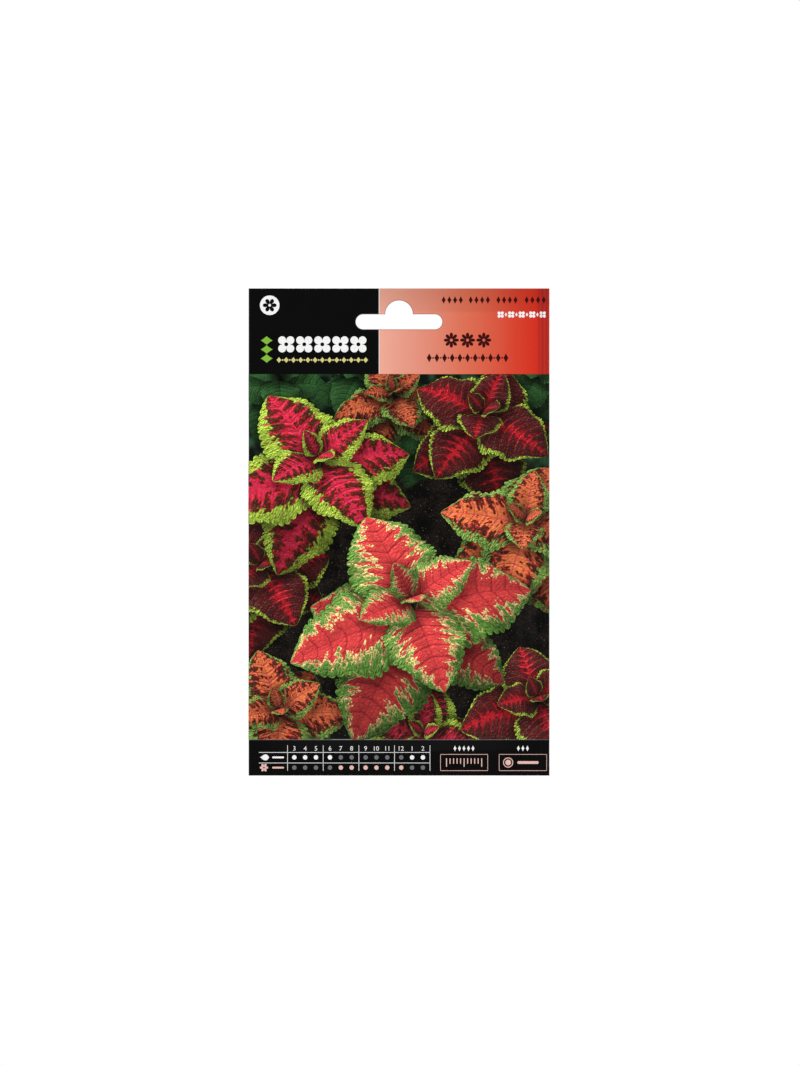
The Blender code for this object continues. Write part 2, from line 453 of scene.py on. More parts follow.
def link_piece(name, mesh):
    """A new object in the scene, at the origin, unturned and unscaled."""
    piece = bpy.data.objects.new(name, mesh)
    bpy.context.scene.collection.objects.link(piece)
    return piece


def smooth(mesh, degrees):
    """Shades a mesh smooth but for edges sharper than an angle."""
    mesh.shade_smooth()
    mesh.set_sharp_from_angle(angle=math.radians(degrees))


def on_packet(piece):
    """Makes a piece part of the packet's printed paper."""
    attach(piece, "root")
    return piece


def slot_outline():
    """The hang slot's outline in (x, z), counter-clockwise: right end, crown, left end."""
    end_radius = SLOT_HEIGHT / 2
    end_x = SLOT_WIDTH / 2 - end_radius
    middle_z = -CROWN_RADIUS - end_radius
    arcs = [
        (end_x, middle_z, end_radius, -90, 90, 24),
        (0, -CROWN_RADIUS, CROWN_RADIUS, 0, 180, 48),
        (-end_x, middle_z, end_radius, 90, 270, 24),
    ]
    points = []
    for x, z, radius, start, end, steps in arcs:
        turn = np.radians(np.linspace(start, end, steps + 1))
        points.append(np.stack([x + radius * np.cos(turn), z + radius * np.sin(turn)], axis=1))
    return np.concatenate(points)


def slot_cutter(material):
    """A closed prism over the slot's outline, as deep as the whole packet and more."""
    outline = slot_outline()
    bm = bmesh.new()
    face = bm.faces.new([bm.verts.new((x, -CUTTER_REACH, z)) for x, z in outline])
    pushed = bmesh.ops.extrude_face_region(bm, geom=[face])["geom"]
    moved = [item for item in pushed if isinstance(item, bmesh.types.BMVert)]
    bmesh.ops.translate(bm, verts=moved, vec=(0, 2 * CUTTER_REACH, 0))
    bmesh.ops.recalc_face_normals(bm, faces=bm.faces)
    mesh = bpy.data.meshes.new("slot_cutter")
    bm.to_mesh(mesh)
    bm.free()
    mesh.materials.append(material)
    return link_piece("slot_cutter", mesh)


# Paints of the paper


def slot_distance(paint, x, z):
    """Millimetres from the hang slot's cut edge, from its two rounded shapes."""
    end_radius = SLOT_HEIGHT / 2 / MM
    end_x = SLOT_WIDTH / 2 / MM - end_radius
    crown = CROWN_RADIUS / MM
    past_end = paint.maths("MAXIMUM", abs(x) - end_x, 0.0)
    slot = paint.maths("SQRT", past_end**2 + (z + crown + end_radius) ** 2) - end_radius
    over = paint.maths("SQRT", x**2 + (z + crown) ** 2) - crown
    return paint.maths("MINIMUM", slot, over)


def header_print(paint, x, z, colours):
    """The header: black at the left, then red that deepens to the right, under a duller strip."""
    left, right = BLACK_RIGHT / MM, RIGHT / MM
    across = (x - left) * (1 / (right - left))
    stops = [
        (0.0, colours.pale),
        (0.16, colours.salmon),
        (0.48, colours.orange),
        (0.80, colours.red),
        (0.92, colours.scarlet),
        (0.95, colours.deep_red),
    ]
    red = paint.node("ShaderNodeValToRGB", {"stops": stops}, {0: across})
    low, high = [TOP / MM - depth for depth in STRIP_DEPTHS]
    strip = paint.rise(z, low, high) * (0.5 + 0.5 * paint.rise(z, -4.0, 3.0))
    red = paint.mix(strip, red, (0.80, 0.82, 0.80), "MULTIPLY")
    line = paint.rise(abs(x - left), 0.22, 0.10)
    right_of_black = paint.rise(x, left - FRONT_EDGE, left + FRONT_EDGE)
    header = paint.mix(right_of_black, colours.black, red)
    return paint.mix(line * 0.55, header, colours.white)


def soil_print(paint, place, z, colours):
    """Dark soil with lit crumbs, and blurred foliage far behind it near the picture's top."""
    clods = paint.noise(place, 0.22, 3.0)
    grains = paint.noise(place, 2.6, 3.0, 0.7)
    black = (0.0006, 0.0005, 0.0004)
    ground = paint.mix(paint.rise(grains * 0.5 + clods * 0.5, 0.40, 0.62), black, colours.soil)
    crumbs = paint.rise(grains, 0.55, 0.68) * paint.rise(clods, 0.34, 0.60)
    ground = paint.mix(crumbs * 0.28, ground, colours.crumb)
    glints = paint.rise(paint.noise(place, 2.1, 1.0), 0.72, 0.77)
    ground = paint.mix(glints * 0.5, ground, (0.30, 0.26, 0.20))
    blur = paint.noise(place, 0.16, 1.0)
    far = paint.mix(paint.rise(blur, 0.42, 0.72), (0.002, 0.005, 0.003), (0.03, 0.09, 0.04))
    start, full = [PICTURE_TOP / MM - depth for depth in FAR_DEPTHS]
    return paint.mix(paint.rise(z + 22 * (blur - 0.5), start, full), ground, far)


def back_print(paint, z, colours):
    """The back: a pale panel between a black header and a black foot, with a red rule at each."""
    low, high = PICTURE_BOTTOM / MM, PICTURE_TOP / MM
    over_foot = paint.rise(z, low - BACK_EDGE, low + BACK_EDGE)
    under_header = paint.rise(z, high + BACK_EDGE, high - BACK_EDGE)
    back = paint.mix(over_foot * under_header, colours.black, colours.back)
    upper_rule = paint.rise(abs(z - high + RULE_INSET), 0.5, 0.4)
    lower_rule = paint.rise(abs(z - low - RULE_INSET), 0.5, 0.4)
    return paint.mix(upper_rule + lower_rule, back, colours.red)


def printed_paper(colours, picture):
    """The sheet's printed side: header, picture ground and foot in front, the panel behind."""
    paint = Paint("printed coated paper")
    place = paint.place_mm()
    x, y, z = paint.split(place)
    low, high = PICTURE_BOTTOM / MM, PICTURE_TOP / MM
    front = paint.mix(
        paint.rise(z, high - FRONT_EDGE, high + FRONT_EDGE),
        soil_print(paint, place, z, picture),
        header_print(paint, x, z, colours),
    )
    over_foot = paint.rise(z, low - FRONT_EDGE, low + FRONT_EDGE)
    front = paint.mix(over_foot, colours.black, front)
    front = paint.mix(paint.rise(abs(z - low), 0.16, 0.08) * 0.3, front, colours.white)
    back = back_print(paint, z, colours)
    colour = paint.mix(paint.rise(y, -BACK_EDGE, BACK_EDGE), front, back)
    # Noise that roughens both the worn edges and the painted shade round the slot
    wear_and_shade_noise = paint.noise(place, 0.4, 5.0, 0.75)
    from_ends = paint.maths("MINIMUM", TOP / MM - z, z - BOTTOM / MM)
    inset = paint.maths("MINIMUM", RIGHT / MM - abs(x), from_ends)
    worn = paint.rise(inset + wear_and_shade_noise * 0.5, 0.36, 0.18)
    colour = paint.mix(worn * 0.22, colour, colours.paper)
    # A thin dark line round the hang slot: painted shade along its cut edge, partly scuffed print
    cut = paint.rise(slot_distance(paint, x, z) + 0.1 * wear_and_shade_noise, 0.42, 0.12)
    colour = paint.mix(cut * 0.5, colour, (0.10, 0.05, 0.045))
    # pressed adds painted shade in the grooves between the ribs
    return paint.finish(pressed(paint, colour), coated_surface(paint, place))


def bare_paper(colours, name, greying):
    """Uncoated paper, fibrous and a little cloudy; the last argument is how far its fibres are
    greyed.
    """
    paint = Paint(name, roughness=0.85, specular=0.3)
    place = paint.place_mm()
    fibre = paint.noise(place, 2.2, 4.0, 0.7)
    colour = paint.mix(paint.rise(fibre, 0.35, 0.75) * greying, colours.paper, (0.42, 0.38, 0.32))
    paint.bump(fibre, 0.03 * MM)
    return paint.finish(colour, 0.75 + 0.2 * fibre)


class PACKET_OT_paper(bpy.types.Operator):
    """Make the folded paper sheet, with its seals, ribs, bulge and hang slot"""

    bl_idname = "packet.paper"
    bl_label = "Folded paper"

    def execute(self, context):
        colours = context.scene.packet_print
        grid = paper_sheet()
        rows, columns = grid.shape[:2]
        mesh = mesh_from("printed_paper", grid.reshape(-1, 3), grid_quads(rows, columns))
        core = bare_paper(colours, "paper core", 0.35)
        mesh.materials.append(printed_paper(colours, context.scene.packet_picture))
        mesh.materials.append(bare_paper(colours, "paper inside", 0.15))
        mesh.materials.append(core)
        sheet = link_piece("printed_paper", mesh)
        wall = sheet.modifiers.new("wall", "SOLIDIFY")
        wall.thickness = PAPER
        wall.offset = -1.0
        wall.material_offset = 1
        wall.material_offset_rim = 2
        cutter = slot_cutter(core)
        hole = sheet.modifiers.new("slot", "BOOLEAN")
        hole.operation = "DIFFERENCE"
        hole.object = cutter
        hole.solver = "EXACT"
        hole.material_mode = "TRANSFER"
        graph = context.evaluated_depsgraph_get()
        finished = bpy.data.meshes.new_from_object(sheet.evaluated_get(graph))
        sheet.modifiers.clear()
        sheet.data = finished
        bpy.data.objects.remove(cutter)
        smooth(finished, 35)
        on_packet(sheet)
        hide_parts("envelope")
        return {"FINISHED"}


# The printed picture: leaves modelled in space, seen from above and laid flat on the paper


class LeafKind(NamedTuple):
    """How one kind of leaf is coloured. Shares are of its half width, from the midrib out."""

    centre: str
    vein: str
    band: str
    flesh: str
    mottle: str
    margin: str
    core: float  # how far the centre's colour reaches between the veins
    tongue: float  # how much further it reaches along them
    softness: float  # of the centre's edge
    band_width: float
    mottling: float
    margin_width: float
    veins: float
    width: float  # of the leaf, as a share of its length
    teeth: int  # along each side
    cut: float  # depth of the teeth
    islets: float  # how far the colours' borders jump from one cell between the veins to the next


LEAF_KINDS = {
    "far_leaves": LeafKind(
        "far_green", "dark_green", "far_green", "far_green", "dark_green", "far_green",
        0.10, 0.10, 0.10, 0.02, 0.30, 0.10, 8, 0.72, 12, 0.08, 0.20,
    ),
    "coral_leaves": LeafKind(
        "coral", "coral_vein", "cream", "green", "dark_green", "green",
        0.40, 0.20, 0.012, 0.09, 0.40, 0.22, 8, 0.82, 17, 0.10, 0.30,
    ),
    "lime_leaves": LeafKind(
        "pink", "pink", "scarlet", "maroon", "olive", "lime",
        0.00, 0.34, 0.06, 0.10, 0.60, 0.36, 8, 0.80, 16, 0.10, 0.55,
    ),
    "orange_leaves": LeafKind(
        "orange", "rose", "scarlet", "maroon", "olive", "leaf",
        0.20, 0.34, 0.05, 0.06, 0.85, 0.25, 7, 0.86, 14, 0.10, 0.60,
    ),
    "burgundy_leaves": LeafKind(
        "scarlet", "scarlet", "burgundy", "burgundy", "olive", "lime",
        0.00, 0.20, 0.10, 0.10, 0.30, 0.12, 9, 0.94, 20, 0.09, 0.30,
    ),
}


class Plant(NamedTuple):
    """A plant in the picture: its kind, its middle and leaf length in mm, and how it stands."""

    kind: str
    x: float
    z: float
    length: float
    turn: float  # degrees that its first pair of leaves is turned
    tilt: float  # degrees that it is seen from the side
    depth: float  # how far it lies in shade, from 0 to 1


PLANTS = (
    Plant("far_leaves", -40.0, -27.0, 20.0, 10.0, 45.0, 0.72),
    Plant("far_leaves", -14.0, -24.0, 17.0, 65.0, 45.0, 0.80),
    Plant("far_leaves", 8.0, -40.0, 21.0, 35.0, 45.0, 0.78),
    Plant("far_leaves", 46.0, -24.0, 19.0, 80.0, 45.0, 0.74),
    Plant("orange_leaves", -2.0, -33.0, 19.0, 20.0, 42.0, 0.40),
    Plant("burgundy_leaves", 28.0, -40.0, 27.0, 60.0, 38.0, 0.18),
    Plant("burgundy_leaves", -46.0, -90.0, 26.0, 35.0, 30.0, 0.25),
    Plant("lime_leaves", 8.0, -146.0, 24.0, 75.0, 25.0, 0.42),
    Plant("orange_leaves", 42.0, -76.0, 29.0, 75.0, 34.0, 0.05),
    Plant("orange_leaves", -40.0, -138.0, 26.0, 10.0, 25.0, 0.25),
    Plant("lime_leaves", -27.0, -56.0, 34.0, 28.0, 36.0, 0.0),
    Plant("burgundy_leaves", 46.0, -134.0, 25.0, 20.0, 28.0, 0.10),
    Plant("coral_leaves", 4.0, -103.0, 40.0, 24.0, 32.0, 0.0),
)


class Whorl(NamedTuple):
    """A pair of opposite leaves. Length and height are shares of the plant's leaf length."""

    length: float
    height: float
    start: float  # degrees of slope where the leaf leaves the stem
    end: float  # degrees of slope at its tip
    turn: float  # degrees from the plant's first pair
    shade: float  # how much light the pairs above it take


WHORLS = (
    Whorl(0.98, -0.34, 2.0, -38.0, 45.0, 0.50),
    Whorl(0.90, -0.26, 6.0, -36.0, -45.0, 0.42),
    Whorl(1.00, -0.10, 16.0, -34.0, 0.0, 0.10),
    Whorl(0.92, 0.06, 26.0, -22.0, 90.0, 0.0),
    Whorl(0.58, 0.16, 40.0, 2.0, 8.0, 0.0),
    Whorl(0.30, 0.22, 58.0, 34.0, 96.0, 0.0),
)

# A leaf's grid and shape
LEAF_SIDE_PLACES = (0, 0.12, 0.28, 0.45, 0.60, 0.74, 0.86, 0.94, 1.0)
ROWS_A_TOOTH = 6
TOOTH_GROWTH = 1.09  # how the teeth lengthen towards the leaf's tip
SWELL, TAPER = 0.5, 0.9  # powers with which it widens from its stem and narrows to its tip
STALK = 0.05  # bare length between the plant's middle and the leaf, as a share of the leaf's
LIFT, CURL = 0.42, 0.55  # how each half rises from the midrib and falls to its edge
WAVE, WAVES = 0.13, 2.6  # height of the edge's waves as a share of the half width, and how many

# How the leaves lie on the paper
LAYER = 0.0032 * MM  # between a printed leaf and the one that it covers
FIRST_LAYER = 0.022 * MM  # between the paper and the leaves that cover none
ON_LINE = 1e-8  # metres within which a point counts as on the line that splits a print
COVER_CELL = 1.0 * MM  # of the squares in which leaves are compared to find which covers which
ROW_OF_SQUARES = 10000  # more than the squares across the picture, so that each has a number

# The painted light
LAMP = np.array([-0.50, 0.35, 0.79])  # where it comes from: x, away, up
LAMP_STEP = 0.28 * MM  # how far towards the lamp the painted relief is compared
SKY_LIGHT, LAMP_LIGHT = 0.40, 0.98
STEM_SHADE, STEM_REACH = 0.50, 0.25  # darkening at the stem, and the share of the leaf it spans
DEPTH_SHADE = 0.70  # how much darker a plant of depth 1 is
SHADOW = 0.62  # how much darker a leaf is beside one that covers it
SHADOW_SHIFT = np.array([0.8 * MM, -1.2 * MM])
SHADOW_REACH = 1.9 * MM


def leaf_surface(kind, length, slopes, azimuth, seed):
    """A leaf in space as a grid: along its midrib, and across from its left edge to its right.

    Its half width is a power of the place along times a power of what is left, less rounded
    teeth at the edge. The midrib is an arc between two slopes. Each half rises from the midrib
    in proportion to the way across, and curls down with its square to a waved edge. Returns
    the places, the shares along and across, and the half width.
    """
    u = np.linspace(0, 1, ROWS_A_TOOTH * kind.teeth + 1)[:, None]
    s = u**TOOTH_GROWTH
    side = np.array(LEAF_SIDE_PLACES)
    v = np.concatenate([-side[:0:-1], side])[None, :]
    fullest = SWELL / (SWELL + TAPER)
    profile = (s / fullest) ** SWELL * ((1 - s) / (1 - fullest)) ** TAPER
    teeth = np.abs(np.sin(np.pi * kind.teeth * u)) ** 0.6
    half = kind.width / 2 * length * profile
    edge = half * (1 - kind.cut * (1 - teeth) * np.abs(v) ** 10)
    start, end = np.radians(slopes)
    slope = start + (end - start) * s
    out = length * (np.sin(slope) - np.sin(start)) / (end - start)
    rise = -length * (np.cos(slope) - np.cos(start)) / (end - start)
    across = v * edge
    wave = WAVE * np.sin(2 * np.pi * (WAVES * s + seed) + 1.5 * v) * np.abs(v) ** 3
    up = rise + half * (LIFT * np.abs(v) - CURL * v**2 + wave)
    reach = out + STALK * length
    cosine, sine = math.cos(azimuth), math.sin(azimuth)
    places = np.stack([reach * cosine - across * sine, reach * sine + across * cosine, up], -1)
    return places, s + 0 * v, v + 0 * s, half


def leaf_light(places, s):
    """Painted light: the sky's, more where a leaf faces the lamp, and less near the stem."""
    normal = np.cross(np.gradient(places, axis=0), np.gradient(places, axis=1))
    normal /= np.linalg.norm(normal, axis=-1, keepdims=True) + 1e-12
    facing = np.clip(normal @ (LAMP / np.linalg.norm(LAMP)), 0, 1)
    stem = 1 - STEM_SHADE + STEM_SHADE * np.clip(s / STEM_REACH, 0, 1)
    return (SKY_LIGHT + LAMP_LIGHT * facing**1.2) * stem


def towards_lamp(flat, s, v):
    """The change of s and v that moves a point a small step towards the lamp, as printed.

    The step's two parts are solved from the flat grid's slopes along s and along v.
    """
    along = np.gradient(flat, axis=0) / (np.gradient(s, axis=0)[..., None] + 1e-9)
    across = np.gradient(flat, axis=1) / (np.gradient(v, axis=1)[..., None] + 1e-9)
    step = LAMP_STEP * LAMP[[0, 2]] / np.linalg.norm(LAMP[[0, 2]])
    area = along[..., 0] * across[..., 1] - along[..., 1] * across[..., 0]
    area = np.where(np.abs(area) < 1e-7, 1e-7, area)
    ds = (step[0] * across[..., 1] - step[1] * across[..., 0]) / area
    dv = (step[1] * along[..., 0] - step[0] * along[..., 1]) / area
    return np.stack([np.clip(ds, -0.03, 0.03), np.clip(dv, -0.12, 0.12), 0 * ds], -1)


def picture_leaves(seed):
    """Every leaf of the picture, the far ones first, as dictionaries of grids in metres."""
    rng = np.random.default_rng(seed)
    leaves = []
    for plant in PLANTS:
        kind = LEAF_KINDS[plant.kind]
        tilt = math.radians(plant.tilt)
        for whorl in WHORLS:
            for opposite in (0, 180):
                turn = plant.turn + whorl.turn + opposite + rng.uniform(-12, 12)
                length = plant.length * MM * whorl.length * rng.uniform(0.92, 1.08)
                slopes = (whorl.start + rng.uniform(-6, 6), whorl.end + rng.uniform(-8, 8))
                number = rng.uniform(0, 40)
                places, s, v, half = leaf_surface(kind, length, slopes, math.radians(turn), number)
                light = leaf_light(places, s) * (1 - DEPTH_SHADE * plant.depth)
                light *= 1 - whorl.shade
                rise = places[..., 2] + whorl.height * plant.length * MM
                flat_x = plant.x * MM + places[..., 0]
                flat_z = plant.z * MM + places[..., 1] * math.cos(tilt) + rise * math.sin(tilt)
                flat = np.stack([flat_x, flat_z], -1)
                leaves.append(
                    {
                        "kind": plant.kind,
                        "flat": flat,
                        "uv": np.stack([s, (v + 1) / 2], -1),
                        "place": np.stack([s * length, v * half, number * MM + 0 * s], -1) / MM,
                        "lamp": towards_lamp(flat, s, v),
                        "light": light,
                    }
                )
    return leaves


def outline_of(leaf):
    """The leaf's edge as seen: up its right side and down its left, every third point."""
    flat = leaf["flat"]
    return np.concatenate([flat[::3, -1], flat[::-3, 0]])


def squares_under(leaf):
    """The numbered squares of the picture that a leaf's points lie in, and those beside them."""
    squares = np.unique(np.floor(leaf["flat"].reshape(-1, 2) / COVER_CELL).astype(int), axis=0)
    beside = np.array([(i, j) for i in (-1, 0, 1) for j in (-1, 0, 1)])
    spread = (squares[:, None, :] + beside).reshape(-1, 2)
    return np.unique(spread[:, 0] * ROW_OF_SQUARES + spread[:, 1])


def shade_and_stack(leaves):
    """Darkens each leaf beside those that cover it, and gives each its layer over the paper.

    A point's shade is 1 less a bell curve of its distance to the covering leaf's outline,
    shifted away from the lamp.
    """
    squares = [squares_under(leaf) for leaf in leaves]
    for upper, leaf in enumerate(leaves):
        below = [i for i in range(upper) if np.isin(squares[i], squares[upper]).any()]
        leaf["layer"] = 1 + max([leaves[i]["layer"] for i in below], default=-1)
        outline = outline_of(leaf) + SHADOW_SHIFT
        for i in below:
            away = leaves[i]["flat"][:, :, None, :] - outline
            distance = np.sqrt((away**2).sum(-1)).min(-1)
            leaves[i]["light"] *= 1 - SHADOW * np.exp(-((distance / SHADOW_REACH) ** 2))


def crease_lines():
    """Planes at which printed pieces are split, so that they follow the ribs and the creases."""
    fold = FOLD_X - FACE * np.sin(FOLD_TURNS[FOLD_TURNS < np.pi / 2])
    upright_runs = (RIB_RUN, RIGHT_CREASE_RUN, LEFT_CREASE_RUN)
    columns = np.concatenate([*map(stretches, upright_runs), fold])
    rows = np.concatenate([stretches(TOP_CREASE_RUN), stretches(BOTTOM_CREASE_RUN)])
    return [(x, (1, 0, 0)) for x in np.unique(columns)] + [(z, (0, 0, 1)) for z in np.unique(rows)]


def split_flat(bm, box, lines):
    """Cuts a flat mesh to a box, and splits it at the lines that cross it."""
    (low_x, low_z), (high_x, high_z) = box
    keeps = [
        ((low_x, 0, 0), (-1, 0, 0)),
        ((high_x, 0, 0), (1, 0, 0)),
        ((0, 0, low_z), (0, 0, -1)),
        ((0, 0, high_z), (0, 0, 1)),
    ]
    for point, outwards in keeps:
        geometry = [*bm.verts, *bm.edges, *bm.faces]
        bmesh.ops.bisect_plane(
            bm, geom=geometry, dist=ON_LINE, plane_co=point, plane_no=outwards, clear_outer=True
        )
    if not bm.verts:
        return
    places = np.array([vertex.co for vertex in bm.verts])
    for place, normal in lines:
        along = places @ np.array(normal)
        if along.min() < place < along.max():
            geometry = [*bm.verts, *bm.edges, *bm.faces]
            point = Vector(normal) * place
            bmesh.ops.bisect_plane(
                bm, geom=geometry, dist=ON_LINE, plane_co=point, plane_no=normal
            )


def facing_front(points, faces):
    """The faces, each turned round if it runs clockwise as seen from the front."""
    corners = points[faces]
    x, z = corners[..., 0], corners[..., 1]
    area = (x * np.roll(z, -1, 1) - z * np.roll(x, -1, 1)).sum(1)
    return np.where(area[:, None] > 0, faces, faces[:, ::-1])


def leaf_mesh(leaf):
    """One leaf as a flat mesh with its UV map and its place and light attributes."""
    rows, columns = leaf["flat"].shape[:2]
    flat = leaf["flat"].reshape(-1, 2)
    faces = facing_front(flat, grid_quads(rows, columns))
    depth = np.full(len(flat), -FIRST_LAYER - leaf["layer"] * LAYER)
    mesh = mesh_from("leaf", np.stack([flat[:, 0], depth, flat[:, 1]], 1), faces)
    corners = rows_from(mesh.loops, "vertex_index", 1, np.int32)[:, 0]
    rows_into(mesh.uv_layers.new(name="leaf").data, "uv", leaf["uv"].reshape(-1, 2)[corners])
    for name in ("place", "lamp"):
        attribute = mesh.attributes.new("leaf_" + name, "FLOAT_VECTOR", "POINT")
        rows_into(attribute.data, "vector", leaf[name])
    light = mesh.attributes.new("leaf_light", "FLOAT", "POINT")
    rows_into(light.data, "value", leaf["light"])
    return mesh


def lay_on_paper(mesh, behind=False):
    """Moves a flat mesh, whose -Y holds its height over the paper, onto the paper's outer side.

    Past the fold's start a point keeps its x and goes round the fold: the arc sine of its way
    past over the fold's radius is the turn of the face there, and its height goes that way too.
    """
    x, height, z = rows_from(mesh.vertices, "co", 3).astype(float).T
    if behind:
        y = back_face(x, z) - height
    else:
        turn = np.arcsin(np.clip((FOLD_X - x) / FACE, 0, 1))
        y = np.where(x < FOLD_X, -FACE * np.cos(turn), front_face(x, z)) + height * np.cos(turn)
        x = x + height * np.sin(turn)
    rows_into(mesh.vertices, "co", np.stack([x, y, z], 1))
    mesh.update()


def leaf_paint(name, kind, colours):
    """Ink of one kind of leaf, painted from the place on the leaf.

    Side veins lean forward from the midrib. The centre's colour reaches out along them in
    tongues, a band edges it, mottled flesh follows, and the margin closes it. A net of veins
    puffs the flesh up in cells, and the relief is lit by comparing it with itself a small
    step nearer the lamp.
    """
    paint = Paint("printed " + name)
    along_mm, across_mm, number = paint.split(paint.attribute("leaf_place", "Vector"))
    lamp_share, lamp_side = paint.split(paint.attribute("leaf_lamp", "Vector"))[:2]
    share, uv_side = paint.split(paint.node("ShaderNodeUVMap", {"uv_map": "leaf"}))[:2]
    place = paint.joined(along_mm, across_mm, number * 9)
    cloud = paint.noise(place, 0.30, 3.0)
    fine = paint.noise(place, 1.3, 3.0, 0.6)

    def net_place(cell, side):
        return paint.joined(cell * 4.0, side * 8.5, number * 5)

    def veined(share, side):
        """At a place on the leaf: the side veins' count, the net's distance and the relief."""
        reach = abs(side)
        cell = (share - 0.24 * reach**1.15 * (1.2 - share)) * kind.veins + 0.40 * (cloud - 0.5)
        net = paint.cells(net_place(cell, side), 1.0)
        off_vein = abs(paint.maths("FRACT", cell + 0.5) - 0.5)
        hollow = paint.rise(off_vein, 0.20, 0.0) * (1.0 - 0.5 * reach)
        relief = paint.rise(net, 0.0, 0.34) * (0.45 + 0.55 * reach) - hollow * 0.7
        return cell, net, off_vein, relief

    side = uv_side * 2 - 1
    reach = abs(side)
    cell, net, off_vein, relief = veined(share, side)
    nearer = veined(share + lamp_share, side + lamp_side)[3]
    facing = relief - nearer
    inputs = {"Vector": net_place(cell, side), "Scale": 1.0}
    islet = paint.split(paint.node("ShaderNodeTexVoronoi", inputs=inputs, output="Color"))[0]
    ridge = (0.5 + 0.5 * paint.maths("COSINE", 2 * math.pi * cell)) ** 1.8
    streak = paint.noise(paint.joined(cell * 2.4, reach * 1.7, number * 7), 1.0, 3.0, 0.6)
    bleed = paint.rise(net, 0.16, 0.0)
    reached = kind.core + kind.tongue * ridge * (2.4 * streak - 0.1) + 0.8 * (streak - 0.5)
    jump = kind.islets * (islet - 0.5)
    beyond = reach - reached - 0.20 * (fine - 0.5) - 0.12 * bleed - jump
    centre = paint.rise(beyond, kind.softness, -kind.softness)
    band_end = kind.band_width * (0.2 + 1.6 * cloud) + 0.09 * bleed
    band = paint.rise(beyond, band_end + 0.03, band_end - 0.02)
    margin_start = 1 - kind.margin_width + 0.14 * (fine - 0.5) + 0.4 * jump
    margin = paint.rise(reach, margin_start - 0.03, margin_start + 0.03)

    def shifted(name, darker):
        """A colour of the picture that drifts a little over the leaf."""
        colour = getattr(colours, name)
        dark = tuple(darker * part for part in colour)
        return paint.mix(paint.rise(cloud * 0.5 + fine * 0.5, 0.36, 0.62), dark, colour)

    spots = paint.rise(fine * 0.6 + streak * 0.4, 0.47, 0.55) * kind.mottling
    colour = paint.mix(spots, shifted(kind.flesh, 0.6), getattr(colours, kind.mottle))
    colour = paint.mix(margin, colour, shifted(kind.margin, 0.68))
    colour = paint.mix(band, colour, getattr(colours, kind.band))
    colour = paint.mix(centre, colour, shifted(kind.centre, 0.74))
    vein = paint.rise(off_vein, 0.075, 0.02) * paint.rise(reach, 1.0, 0.2)
    colour = paint.mix(vein * 0.6, colour, getattr(colours, kind.vein))
    midrib = paint.rise(abs(across_mm) + share * 0.25, 0.42, 0.22)
    colour = paint.mix(midrib * 0.75, colour, getattr(colours, kind.vein))
    edge = paint.rise(reach, 0.95, 0.99)
    light = paint.attribute("leaf_light", "Fac")
    strength = 0.60 + 0.30 * margin
    lit = light * (0.86 + strength * facing + 0.20 * relief + 0.22 * edge + 0.30 * (fine - 0.5))
    gloss = paint.rise(facing + 0.4 * (fine - 0.5), 0.30, 1.0) * light * 0.11
    colour = paint.mix(gloss, paint.scaled(colour, lit), (0.70, 0.76, 0.70))
    # Painted shade in the grooves between the pressed ribs
    colour = pressed(paint, colour)
    return paint.finish(colour, coated_surface(paint, paint.place_mm()))


class PACKET_OT_leaves(bpy.types.Operator):
    """Print the picture's leaves on the front, one piece for each kind of leaf"""

    bl_idname = "packet.leaves"
    bl_label = "Printed leaves"

    def execute(self, context):
        colours = context.scene.packet_picture
        leaves = picture_leaves(colours.seed)
        shade_and_stack(leaves)
        box = ((LEFT, PICTURE_BOTTOM), (RIGHT, PICTURE_TOP))
        lines = crease_lines()
        for name, kind in LEAF_KINDS.items():
            joined = bmesh.new()
            for leaf in leaves:
                if leaf["kind"] != name:
                    continue
                mesh = leaf_mesh(leaf)
                bm = bmesh.new()
                bm.from_mesh(mesh)
                split_flat(bm, box, lines)
                bm.to_mesh(mesh)
                bm.free()
                joined.from_mesh(mesh)
                bpy.data.meshes.remove(mesh)
            mesh = bpy.data.meshes.new(name)
            joined.to_mesh(mesh)
            joined.free()
            lay_on_paper(mesh)
            mesh.materials.append(leaf_paint(name, kind, colours))
            mesh.shade_smooth()
            on_packet(link_piece(name, mesh))
        return {"FINISHED"}


# Printed marks: flat shapes as grids of (x, z) in millimetres


def bar(x, z, half_x, half_z, rounded=True):
    """A bar about a middle: its half height falls as a circle at rounded ends."""
    a, b = np.linspace(-1, 1, 33)[None, :], np.linspace(-1, 1, 5)[:, None]
    radius = min(half_x, half_z)
    past = np.clip((np.abs(a) * half_x - (half_x - radius)) / radius, 0, 1)
    height = half_z * (np.sqrt(1 - past**2) if rounded else 1 + 0 * past)
    return np.stack([x + half_x * a + 0 * b, z + b * height], -1)


def upright(x, z, half_x, half_z):
    """A thin upright line about a middle."""
    return bar(0, 0, half_z, half_x, rounded=False)[..., ::-1] + np.array([x, z])


def ring(x, z, inner, outer, lobes=0, depth=0.0, first=0.0):
    """A ring or disc, whose outer edge may shrink between lobes by a share of its radius.

    The edge falls as the power 0.6 of a cosine from each lobe to a sharp notch, and the first
    lobe stands at an angle.
    """
    turn = np.linspace(0, 2 * np.pi, (16 * lobes or 48) + 1)[None, :]
    share = np.linspace(0, 1, 4)[:, None]
    edge = outer * (1 - depth + depth * np.abs(np.cos(lobes * turn / 2)) ** 0.6)
    radius = inner + (edge - inner) * share
    turn = turn + math.radians(first)
    return np.stack([x + radius * np.cos(turn), z + radius * np.sin(turn)], -1)


def petal(x, z, length, width, degrees):
    """A drop shape that leaves (x, z) in a direction: its width is a sine of the way along."""
    a, b = np.linspace(0, 1, 17)[None, :], np.linspace(-1, 1, 5)[:, None]
    along = length * a + 0 * b
    across = width / 2 * b * np.sin(np.pi * a**1.4) ** 0.8
    turn = math.radians(degrees)
    return np.stack(
        [
            x + along * math.cos(turn) - across * math.sin(turn),
            z + along * math.sin(turn) + across * math.cos(turn),
        ],
        -1,
    )


